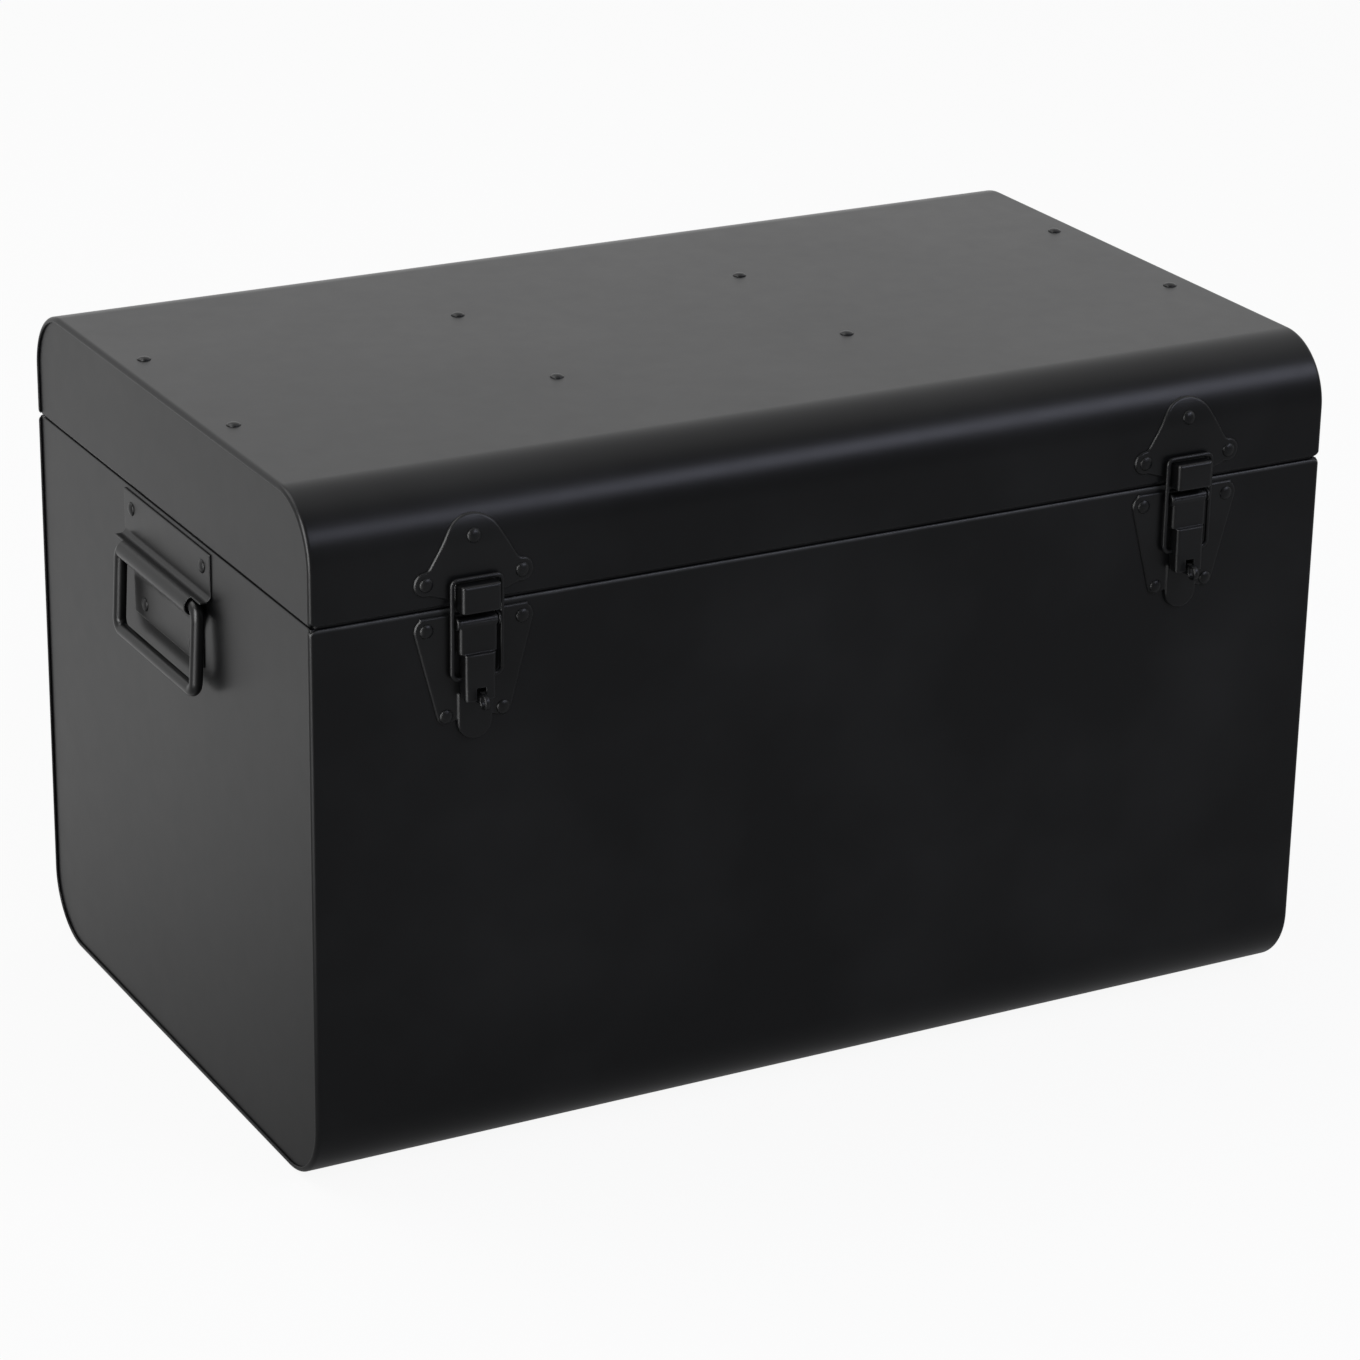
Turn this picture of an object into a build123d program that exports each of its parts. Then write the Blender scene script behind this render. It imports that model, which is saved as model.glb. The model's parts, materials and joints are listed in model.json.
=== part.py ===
from build123d import *

import os
from math import asin, cos, degrees, hypot, radians, sin

# A small sheet-steel trunk. The body and the hinged lid are each one bent sheet closed by two end
# panels. Two toggle latches hold the front, a drop handle hangs on each end, and two stop hinges
# carry the lid behind. Millimetres. The origin is the middle of the flat underside: +X runs along
# the front to the right, the front faces -Y and +Z is up.

# Trunk
trunk_length = 500
trunk_depth = 308
body_height = 258
lid_height = 52.8
seam_gap = 1.2
sheet = 1.0
top_radius = 30
bottom_radius = 31
hem_width = 2.5
rim_round = 4
body_flange = 12
lid_flange = 25

# Locating strip inside the body's rim, which stands up into the lid
strip_sheet = 1.0
strip_drop = 5
strip_rise = 8
strip_step = 0.6
strip_corner = 3

# Stiffening ribs under the lid
rib_x = (-84, 62)
rib_width = 20
rib_depth = 8
rib_end_gap = 5
lid_rivet_rows = (-47, 53)
end_rivet_inset = 13.4

# Rivets
rivet_shank = 1.5
rivet_head = 3.2
rivet_rise = 1.3
rivet_tail = 2.3
rivet_tail_rise = 1.0
rivet_fit = 0.05

# Latches: x is across from the latch's middle, z is up from the body's rim, reach is out of the front
latch_inset = 73.8
latch_plate = 1.2
keeper_lobe = 14
keeper_lobe_z = 25
keeper_shoulder = 30
keeper_flare = 1
keeper_ear = 5.5
keeper_ear_x = 22
keeper_ear_z = 12
keeper_bottom = 2.6
keeper_rivet_z = 30
nose_width = 18
nose_reach = 9
nose_bottom = -0.6
nose_top = 11.3
nose_dip = 0.8
nose_stand = 0.6
base_top = -2.6
base_top_x = 24.8
base_ear_z = -8.3
base_foot_x = 13.2
base_foot_z = -47.6
base_foot = 4
base_tip = 8
base_tip_z = -51.5
pad_rise = 1.0
pad_top = -38
ear_sheet = 1.0
ear_radius = 2.8
pivot_z = -6.3
pivot_reach = 3.6
pivot_pin = 1.0
pin_fit = 0.03
turn_fit = 0.06
barrel_wall = 1.1
side_gap = 0.3
lever_sheet = 1.2
lever_width = 17.5
lever_face = 5.7
lever_step_z = -19.7
thumb_width = 14
thumb_face = 7.5
thumb_flare = 0.5
thumb_crease_z = -28
thumb_bottom = -40
notch_width = 4.4
notch_top = -34.6
loop_wire = 1.0
loop_pivot_z = -31
loop_set_in = 0.3
loop_lift = 0.3
loop_corner = 2.5
loop_foot_bend = 3
loop_foot_inset = 1.2
loop_gap = 0.35
eye_sheet = 2.2
eye_z = -40
eye_reach = 10.6
eye_radius = 3.4
eye_hole = 2.0
eye_arm = 4.8

# Drop handles: x is across from the handle's middle, z is up from the body's rim
strap_sheet = 1.2
strap_width = 97
strap_top = -2
strap_bottom = -57
strap_foot_width = 78
strap_rivet_x = 40
strap_rivet_z = -9.6
foot_rivet_x = 26.5
foot_rivet_z = -50
bail_wire = 3.0
bail_fit = 0.3
bail_axis_z = -27.5
bail_axis_reach = 4.6
bail_width = 88
bail_drop = 38
bail_corner = 5
bail_lean = 3
roof_width = 95
roof_from = 75

# Hinges: z is up from the body's rim
hinge_inset = 100
hinge_width = 40
hinge_leaf = 1.2
body_leaf_drop = 30
lid_leaf_rise = 22
knuckle_radius = 2.9
knuckle_length = 12
knuckle_gap = 0.3
knuckle_stand = 0.3
hinge_pin = 1.3
hinge_pin_head = 2.2
hinge_pin_head_rise = 1.0
hinge_rivet_x = 12
body_leaf_rivet_z = -18
lid_leaf_rivet_z = 14
lid_open = 105
stop_reach = 6
stop_sheet = 1.2
stop_slack = 1.5

# What follows from those
lid_bottom = body_height + seam_gap
trunk_height = lid_bottom + lid_height
panel_face = trunk_length / 2 - sheet
panel_back = panel_face - sheet
wall_inside = trunk_depth / 2 - sheet
strip_top = body_height + strip_rise
body_flange_top = body_height - strip_drop - sheet
lid_flange_bottom = strip_top + 2 * sheet
rib_length = trunk_depth - 2 * (top_radius + rib_end_gap)
rivet_hole = rivet_shank + rivet_fit
latch_x = trunk_length / 2 - latch_inset
loop_reach = pivot_reach - loop_set_in
loop_bar_z = nose_top + loop_lift + loop_wire
loop_half_width = lever_width / 2 + side_gap + ear_sheet + loop_gap + loop_wire
strap_inner = bail_wire + bail_fit
strap_outer = strap_inner + strap_sheet
hinge_x = trunk_length / 2 - hinge_inset
hinge_axis_reach = knuckle_stand + knuckle_radius
sides = ((-1, "left"), (1, "right"))

os.makedirs("parts", exist_ok=True)


def write(piece, label):
    piece.part.label = label
    export_step(piece.part, f"parts/{label}.step")


def end_outline(inset, bottom, top, low_round, high_round, mode=Mode.ADD):
    # The trunk seen from its end, set in by inset: y across and z up.
    half = trunk_depth / 2 - inset
    with BuildLine() as outline:
        FilletPolyline(
            (-half, bottom),
            (half, bottom),
            (half, top),
            (-half, top),
            radius=[low_round, low_round, high_round, high_round],
            close=True,
        )
    make_face(outline.edges(), mode=mode)


def end_plane(side, reach, across=0, z=0):
    # Looks out of one end of the trunk, with its own y up.
    return Plane(origin=(side * reach, side * across, z), x_dir=(0, side, 0), z_dir=(side, 0, 0))


def handle_profile_plane(side):
    # Cuts through one end panel's middle at the rim: its x runs out of the panel and its y up.
    place = (side * panel_face, 0, body_height)
    return Plane(origin=place, x_dir=(side, 0, 0), z_dir=(0, -side, 0))


def top_plane(x, y):
    return Plane(origin=(x, y, trunk_height))


def front_plane(x, rise=0):
    # Looks out of the front at x, so far above the rim; on the rolled edge it leans back with it.
    roll_start = trunk_height - top_radius - body_height
    lean = asin(max(0, rise - roll_start) / top_radius)
    set_back = top_radius * (1 - cos(lean))
    place = (x, set_back - trunk_depth / 2, body_height + rise)
    return Plane(origin=place, x_dir=(1, 0, 0), z_dir=(0, -cos(lean), sin(lean)))


def latch_profile_plane(x):
    # Cuts through one latch's middle at the rim: its x runs out of the front and its y up.
    return Plane(origin=(x, -trunk_depth / 2, body_height), x_dir=(0, -1, 0), z_dir=(-1, 0, 0))


def back_plane(x, rise):
    # Looks out of the back at x, so far above the rim, with its own y up.
    return Plane(origin=(x, trunk_depth / 2, body_height + rise), x_dir=(-1, 0, 0), z_dir=(0, 1, 0))


def hinge_profile_plane(x):
    # Cuts through one hinge, with the pin in its middle: its x runs out of the back and its y up.
    place = (x, trunk_depth / 2 + hinge_axis_reach, body_height + seam_gap / 2)
    return Plane(origin=place, x_dir=(0, 1, 0), z_dir=(1, 0, 0))


def rivet(grip):
    # A rivet on the Z axis: a domed head above zero, a shank through the grip and a tail behind it.
    dome_radius = (rivet_head**2 + rivet_rise**2) / (2 * rivet_rise)
    half_angle = asin(rivet_head / dome_radius) / 2
    dome_middle = (
        dome_radius * sin(half_angle),
        rivet_rise - dome_radius * (1 - cos(half_angle)),
    )
    with BuildPart(mode=Mode.PRIVATE) as one:
        with BuildSketch(Plane.XZ):
            with BuildLine():
                ThreePointArc((0, rivet_rise), dome_middle, (rivet_head, 0))
                Polyline(
                    (rivet_head, 0),
                    (rivet_shank, 0),
                    (rivet_shank, -grip),
                    (rivet_tail, -grip),
                    (rivet_tail, -grip - rivet_tail_rise),
                    (0, -grip - rivet_tail_rise),
                    (0, rivet_rise),
                )
            make_face()
        revolve(axis=Axis.Z)
    return one.part


# Where the rivets go: planes on the outer surface, looking out
lid_end_rivets_at = [
    top_plane(side * (trunk_length / 2 - end_rivet_inset), y)
    for side, hand in sides
    for y in lid_rivet_rows
]
rib_rivets_at = [top_plane(x, y) for x in rib_x for y in lid_rivet_rows]
keeper_rivets_at = [
    front_plane(side * latch_x + x, z)
    for side, hand in sides
    for x, z in ((-keeper_ear_x, keeper_ear_z), (keeper_ear_x, keeper_ear_z), (0, keeper_rivet_z))
]
base_rivets_at = [
    front_plane(side * latch_x + turn * x, z)
    for side, hand in sides
    for x, z in ((keeper_ear_x, base_ear_z), (base_foot_x, base_foot_z))
    for turn in (-1, 1)
]
handle_rivets_at = [
    end_plane(side, panel_face, turn * x, body_height + z)
    for side, hand in sides
    for x, z in ((strap_rivet_x, strap_rivet_z), (foot_rivet_x, foot_rivet_z))
    for turn in (-1, 1)
]
body_hinge_rivets_at = [
    back_plane(side * hinge_x + turn * hinge_rivet_x, body_leaf_rivet_z)
    for side, hand in sides
    for turn in (-1, 1)
]
lid_hinge_rivets_at = [
    back_plane(side * hinge_x + turn * hinge_rivet_x, lid_leaf_rivet_z)
    for side, hand in sides
    for turn in (-1, 1)
]


def write_rivets(places, plate, backing, label):
    # Rivets whose heads sit on a plate of that thickness, or on the sheet itself where plate is 0.
    with BuildPart() as rivets:
        with Locations(*[place.offset(plate) for place in places]):
            add(rivet(plate + backing))
    write(rivets, label)


# --- Body -----------------------------------------------------------------------------------------

with BuildPart() as body_wrap:
    # Front, bottom and back in one sheet
    with BuildSketch(Plane.YZ):
        end_outline(0, 0, body_height, bottom_radius, 0)
        end_outline(sheet, sheet, body_height + sheet, bottom_radius - sheet, 0, Mode.SUBTRACT)
    extrude(amount=trunk_length / 2, both=True)
    fillet(body_wrap.edges().filter_by(Axis.Y).group_by(Axis.Z)[-1], rim_round)
    # Its hem, turned in over the edge of each end panel
    with BuildSketch(Plane.YZ.offset(-trunk_length / 2), Plane.YZ.offset(panel_face)):
        end_outline(0, 0, body_height, bottom_radius, rim_round)
        end_outline(
            hem_width, hem_width, body_height + hem_width, bottom_radius - hem_width, 0, Mode.SUBTRACT
        )
    extrude(amount=sheet)
    with Locations(*base_rivets_at, *body_hinge_rivets_at):
        Hole(rivet_hole, 2 * sheet)
write(body_wrap, "body_wrap")

for side, hand in sides:
    with BuildPart() as body_end:
        with BuildSketch(end_plane(side, panel_face)):
            end_outline(sheet, sheet, body_height, bottom_radius - sheet, rim_round - sheet)
        extrude(amount=-sheet)
        # The flange that is welded to the wrap's inside
        with BuildSketch(end_plane(side, panel_back)):
            end_outline(sheet, sheet, body_flange_top, bottom_radius - sheet, 0)
            end_outline(
                2 * sheet, 2 * sheet, body_height, bottom_radius - 2 * sheet, 0, Mode.SUBTRACT
            )
        extrude(amount=-body_flange)
        with Locations(*handle_rivets_at):
            Hole(rivet_hole, 2 * sheet)
    write(body_end, f"body_end_{hand}")

with BuildPart() as rim_strip:
    # The lower band lies on the walls, the upper one is joggled in so that the lid passes it
    bands = (
        (body_height - strip_drop, body_height - strip_sheet, 0),
        (body_height - 2 * strip_sheet, strip_top, strip_step),
    )
    for bottom, top, inset in bands:
        across = 2 * (panel_back - inset)
        along = 2 * (wall_inside - inset)
        with BuildSketch(Plane.XY.offset(bottom)):
            RectangleRounded(across, along, strip_corner)
            RectangleRounded(
                across - 2 * strip_sheet,
                along - 2 * strip_sheet,
                strip_corner - strip_sheet,
                mode=Mode.SUBTRACT,
            )
        extrude(amount=top - bottom)
write(rim_strip, "rim_strip")

# --- Lid ------------------------------------------------------------------------------------------

with BuildPart() as lid_wrap:
    # Front, top and back in one sheet
    with BuildSketch(Plane.YZ):
        end_outline(0, lid_bottom, trunk_height, 0, top_radius)
        end_outline(
            sheet, lid_bottom - sheet, trunk_height - sheet, 0, top_radius - sheet, Mode.SUBTRACT
        )
    extrude(amount=trunk_length / 2, both=True)
    fillet(lid_wrap.edges().filter_by(Axis.Y).group_by(Axis.Z)[0], rim_round)
    # Its hem over each end panel
    with BuildSketch(Plane.YZ.offset(-trunk_length / 2), Plane.YZ.offset(panel_face)):
        end_outline(0, lid_bottom, trunk_height, rim_round, top_radius)
        end_outline(
            hem_width,
            lid_bottom - hem_width,
            trunk_height - hem_width,
            0,
            top_radius - hem_width,
            Mode.SUBTRACT,
        )
    extrude(amount=sheet)
    with Locations(*lid_end_rivets_at, *rib_rivets_at, *keeper_rivets_at, *lid_hinge_rivets_at):
        Hole(rivet_hole, 2 * sheet)
write(lid_wrap, "lid_wrap")

for side, hand in sides:
    with BuildPart() as lid_end:
        with BuildSketch(end_plane(side, panel_face)):
            end_outline(
                sheet, lid_bottom, trunk_height - sheet, rim_round - sheet, top_radius - sheet
            )
        extrude(amount=-sheet)
        # The flange that is riveted under the lid's top
        with BuildSketch(end_plane(side, panel_back)):
            end_outline(sheet, lid_flange_bottom, trunk_height - sheet, 0, top_radius - sheet)
            end_outline(
                2 * sheet,
                lid_bottom,
                trunk_height - 2 * sheet,
                0,
                top_radius - 2 * sheet,
                Mode.SUBTRACT,
            )
        extrude(amount=-lid_flange)
        with Locations(*lid_end_rivets_at):
            Hole(rivet_hole, 3 * sheet)
    write(lid_end, f"lid_end_{hand}")

for x, place in zip(rib_x, ("left", "right")):
    with BuildPart() as lid_rib:
        # A channel lying on its back against the underside of the lid's top
        with BuildSketch(Plane.XZ):
            with Locations((x, trunk_height - sheet)):
                Rectangle(rib_width, rib_depth, align=(Align.CENTER, Align.MAX))
            with Locations((x, trunk_height - 2 * sheet)):
                Rectangle(
                    rib_width - 2 * sheet,
                    rib_depth,
                    align=(Align.CENTER, Align.MAX),
                    mode=Mode.SUBTRACT,
                )
        extrude(amount=rib_length / 2, both=True)
        with Locations(*rib_rivets_at):
            Hole(rivet_hole, 3 * sheet)
    write(lid_rib, f"lid_rib_{place}")

write_rivets(lid_end_rivets_at, 0, 2 * sheet, "lid_end_rivets")
write_rivets(rib_rivets_at, 0, 2 * sheet, "lid_rib_rivets")

# --- Latches --------------------------------------------------------------------------------------

for side, hand in sides:
    front = front_plane(side * latch_x)
    profile = latch_profile_plane(side * latch_x)

    with BuildPart() as keeper:
        # A bell-shaped plate that follows the lid's front up into the rolled edge
        shoulder_x = keeper_lobe * cos(radians(keeper_shoulder))
        shoulder_z = keeper_lobe_z + keeper_lobe * sin(radians(keeper_shoulder))
        with BuildSketch(front):
            with Locations((0, keeper_lobe_z)):
                Circle(keeper_lobe)
            with Locations((-keeper_ear_x, keeper_ear_z), (keeper_ear_x, keeper_ear_z)):
                Circle(keeper_ear)
            with BuildLine():
                Polyline(
                    (-shoulder_x, shoulder_z),
                    (-keeper_ear_x - keeper_flare, keeper_ear_z),
                    (-keeper_ear_x, keeper_ear_z - keeper_ear),
                    (-nose_width / 2, keeper_bottom),
                    (nose_width / 2, keeper_bottom),
                    (keeper_ear_x, keeper_ear_z - keeper_ear),
                    (keeper_ear_x + keeper_flare, keeper_ear_z),
                    (shoulder_x, shoulder_z),
                    close=True,
                )
            make_face()
        extrude(amount=keeper_lobe, both=True)
        with BuildSketch(Plane.YZ.offset(side * latch_x)):
            end_outline(-latch_plate, 0, trunk_height + latch_plate, 0, top_radius + latch_plate)
            end_outline(0, 0, trunk_height, 0, top_radius, Mode.SUBTRACT)
        extrude(amount=2 * keeper_ear_x, both=True, mode=Mode.INTERSECT)
        # The nose that the loop hooks over: top and front in one web, then its two cheeks
        nose_root = nose_top - nose_dip
        with BuildSketch(profile):
            with BuildLine():
                Polyline(
                    (nose_stand, nose_root),
                    (nose_reach, nose_top),
                    (nose_reach, nose_bottom),
                    (nose_reach - latch_plate, nose_bottom),
                    (nose_reach - latch_plate, nose_top - latch_plate),
                    (nose_stand, nose_root - latch_plate),
                    close=True,
                )
            make_face()
        extrude(amount=nose_width / 2, both=True)
        with BuildSketch(profile.offset(-nose_width / 2), profile.offset(nose_width / 2 - latch_plate)):
            with BuildLine():
                Polyline(
                    (nose_stand, nose_root),
                    (nose_reach, nose_top),
                    (nose_reach, nose_bottom),
                    (nose_stand, nose_bottom),
                    close=True,
                )
            make_face()
        extrude(amount=latch_plate)
        with Locations(*[place.offset(latch_plate) for place in keeper_rivets_at]):
            Hole(rivet_hole, 2 * latch_plate)
    write(keeper, f"latch_keeper_{hand}")

    with BuildPart() as base:
        # A tapered plate with four riveted ears and a rounded tip, which is raised into a pad
        with BuildSketch(front):
            with BuildLine():
                Polyline(
                    (-base_top_x, base_top),
                    (base_top_x, base_top),
                    (keeper_ear_x + keeper_ear, base_ear_z),
                    (base_foot_x + base_foot, base_foot_z),
                    (base_tip, base_tip_z),
                    (-base_tip, base_tip_z),
                    (-base_foot_x - base_foot, base_foot_z),
                    (-keeper_ear_x - keeper_ear, base_ear_z),
                    close=True,
                )
            make_face()
            with Locations((-keeper_ear_x, base_ear_z), (keeper_ear_x, base_ear_z)):
                Circle(keeper_ear)
            with Locations((-base_foot_x, base_foot_z), (base_foot_x, base_foot_z)):
                Circle(base_foot)
            with Locations((0, base_tip_z)):
                Circle(base_tip)
        extrude(amount=latch_plate)
        with BuildSketch(front):
            with Locations((0, base_tip_z)):
                Circle(base_tip)
                Rectangle(2 * base_tip, pad_top - base_tip_z, align=(Align.CENTER, Align.MIN))
        extrude(amount=latch_plate + pad_rise)
        # Two ears that hold the lever's pin
        ear_inside = lever_width / 2 + side_gap
        with BuildSketch(profile.offset(-ear_inside - ear_sheet), profile.offset(ear_inside)):
            with Locations((0, pivot_z)):
                Rectangle(pivot_reach, 2 * ear_radius, align=(Align.MIN, Align.CENTER))
            with Locations((pivot_reach, pivot_z)):
                Circle(ear_radius)
                Circle(pivot_pin + pin_fit, mode=Mode.SUBTRACT)
        extrude(amount=ear_sheet)
        # The eye that takes a padlock in front of the closed lever
        with BuildSketch(profile.offset(-eye_sheet / 2)):
            with Locations((latch_plate, eye_z)):
                Rectangle(eye_reach - latch_plate, eye_arm, align=(Align.MIN, Align.CENTER))
            with Locations((eye_reach, eye_z)):
                Circle(eye_radius)
                Circle(eye_hole, mode=Mode.SUBTRACT)
        extrude(amount=eye_sheet)
        with Locations(*[place.offset(latch_plate) for place in base_rivets_at]):
            Hole(rivet_hole, 2 * latch_plate)
    write(base, f"latch_base_{hand}")

    with BuildPart() as pin:
        with BuildSketch(profile):
            with Locations((pivot_reach, pivot_z)):
                Circle(pivot_pin)
        extrude(amount=ear_inside + ear_sheet, both=True)
    write(pin, f"latch_pin_{hand}")

    with BuildPart() as lever:
        # Rolled round its pin at the top, a flat front below it, and a thumb part that stands out
        barrel = pivot_pin + turn_fit + barrel_wall
        flange_back = latch_plate + side_gap
        with BuildSketch(profile):
            with Locations((pivot_reach, pivot_z)):
                Circle(barrel)
            with BuildLine():
                Polyline(
                    (lever_face, pivot_z),
                    (lever_face, lever_step_z),
                    (lever_face - lever_sheet, lever_step_z),
                    (lever_face - lever_sheet, pivot_z),
                    close=True,
                )
            make_face()
            with Locations((pivot_reach, pivot_z)):
                Circle(pivot_pin + turn_fit, mode=Mode.SUBTRACT)
        extrude(amount=lever_width / 2, both=True)
        with BuildSketch(
            profile.offset(-lever_width / 2), profile.offset(lever_width / 2 - lever_sheet)
        ):
            with Locations((flange_back, lever_step_z)):
                Rectangle(
                    lever_face - flange_back,
                    pivot_z - barrel - lever_step_z,
                    align=(Align.MIN, Align.MIN),
                )
        extrude(amount=lever_sheet)
        thumb_tip = thumb_face + thumb_flare
        with BuildSketch(profile):
            with BuildLine():
                Polyline(
                    (lever_face - lever_sheet, lever_step_z),
                    (thumb_face, lever_step_z),
                    (thumb_face, thumb_crease_z),
                    (thumb_tip, thumb_bottom),
                    (thumb_tip - lever_sheet, thumb_bottom),
                    (thumb_face - lever_sheet, thumb_crease_z),
                    (thumb_face - lever_sheet, lever_step_z - lever_sheet),
                    (lever_face - lever_sheet, lever_step_z - lever_sheet),
                    close=True,
                )
            make_face()
        extrude(amount=thumb_width / 2, both=True)
        # The thumb part's cheeks, stepped in over the pad, carry the loop's turned-in feet
        cheek_planes = (
            profile.offset(-thumb_width / 2),
            profile.offset(thumb_width / 2 - lever_sheet),
        )
        with BuildSketch(*cheek_planes):
            with BuildLine():
                Polyline(
                    (flange_back, lever_step_z + lever_sheet),
                    (lever_face, lever_step_z + lever_sheet),
                    (lever_face, lever_step_z),
                    (thumb_face, lever_step_z),
                    (thumb_face, thumb_crease_z),
                    (thumb_tip, thumb_bottom),
                    (flange_back + pad_rise, thumb_bottom),
                    (flange_back + pad_rise, pad_top + side_gap),
                    (flange_back, pad_top + side_gap),
                    close=True,
                )
            make_face()
            with Locations((loop_reach, loop_pivot_z)):
                Circle(loop_wire + turn_fit, mode=Mode.SUBTRACT)
        extrude(amount=lever_sheet)
        # The notch that lets the padlock's eye through
        with BuildSketch(front):
            with Locations((0, thumb_bottom)):
                Rectangle(notch_width, 2 * (notch_top - thumb_bottom))
        extrude(amount=thumb_tip + lever_sheet, mode=Mode.SUBTRACT)
    write(lever, f"latch_lever_{hand}")

    with BuildPart() as loop:
        # One wire: a foot in each cheek of the lever, two legs and the bar over the nose
        foot_in = thumb_width / 2 - lever_sheet - loop_foot_inset
        with BuildLine(front.offset(loop_reach)) as wire:
            FilletPolyline(
                (-foot_in, loop_pivot_z),
                (-loop_half_width, loop_pivot_z),
                (-loop_half_width, loop_bar_z),
                (loop_half_width, loop_bar_z),
                (loop_half_width, loop_pivot_z),
                (foot_in, loop_pivot_z),
                radius=[loop_foot_bend, loop_corner, loop_corner, loop_foot_bend],
            )
        with BuildSketch(Plane(origin=wire.line @ 0, z_dir=wire.line % 0)):
            Circle(loop_wire)
        sweep(path=wire.line)
    write(loop, f"latch_loop_{hand}")

write_rivets(keeper_rivets_at, latch_plate, sheet, "latch_keeper_rivets")
write_rivets(base_rivets_at, latch_plate, sheet, "latch_base_rivets")

# --- Drop handles ---------------------------------------------------------------------------------

for side, hand in sides:
    outside = end_plane(side, panel_face, 0, body_height)
    profile = handle_profile_plane(side)

    with BuildPart() as strap:
        # One strap: an upper flange, a barrel round the bail's bar, and a narrower lower flange
        barrel_root = bail_wire / 2
        with BuildSketch(outside):
            with Locations((0, strap_top)):
                Rectangle(
                    strap_width,
                    strap_top - bail_axis_z - barrel_root,
                    align=(Align.CENTER, Align.MAX),
                )
            with Locations((0, strap_bottom)):
                Rectangle(
                    strap_foot_width,
                    bail_axis_z - barrel_root - strap_bottom,
                    align=(Align.CENTER, Align.MIN),
                )
        extrude(amount=strap_sheet)
        with BuildSketch(profile):
            with Locations((bail_axis_reach, bail_axis_z)):
                Circle(strap_outer)
                Circle(strap_inner, mode=Mode.SUBTRACT)
        extrude(amount=bail_width / 2 - bail_corner, both=True)
        # The barrel's roof runs on over the bail's bends
        roof_rise = strap_outer * sin(radians(roof_from))
        with BuildSketch(profile):
            with Locations((bail_axis_reach, bail_axis_z)):
                Circle(strap_outer)
                Circle(strap_inner, mode=Mode.SUBTRACT)
                Rectangle(
                    2 * strap_outer,
                    strap_outer,
                    align=(Align.CENTER, Align.MAX),
                    mode=Mode.SUBTRACT,
                )
                Rectangle(
                    strap_outer, roof_rise, align=(Align.MIN, Align.MIN), mode=Mode.SUBTRACT
                )
        extrude(amount=roof_width / 2, both=True)
        with Locations(*[place.offset(strap_sheet) for place in handle_rivets_at]):
            Hole(rivet_hole, 2 * strap_sheet)
    write(strap, f"handle_strap_{hand}")

    with BuildPart() as bail:
        # A closed ring of round wire that hangs from the barrel, leaning out a little
        lean = radians(bail_lean)
        ring = Plane(
            origin=(side * (panel_face + bail_axis_reach), 0, body_height + bail_axis_z),
            x_dir=(0, side, 0),
            z_dir=(side * cos(lean), 0, sin(lean)),
        )
        with BuildLine(ring) as wire:
            FilletPolyline(
                (-bail_width / 2, 0),
                (-bail_width / 2, -bail_drop),
                (bail_width / 2, -bail_drop),
                (bail_width / 2, 0),
                radius=bail_corner,
                close=True,
            )
        with BuildSketch(Plane(origin=wire.line @ 0, z_dir=wire.line % 0)):
            Circle(bail_wire)
        sweep(path=wire.line)
    write(bail, f"handle_bail_{hand}")

write_rivets(handle_rivets_at, strap_sheet, sheet, "handle_rivets")

# --- Hinges ---------------------------------------------------------------------------------------

leaf_edge = knuckle_radius + knuckle_gap
stop_tip = hypot(stop_reach, stop_sheet / 2)
stop_half = degrees(asin(stop_sheet / 2 / stop_tip))
stop_contact = degrees(asin((hinge_axis_reach - hinge_leaf) / stop_tip)) - stop_half
stop_rest = lid_open - 90 - stop_contact + stop_slack

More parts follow.
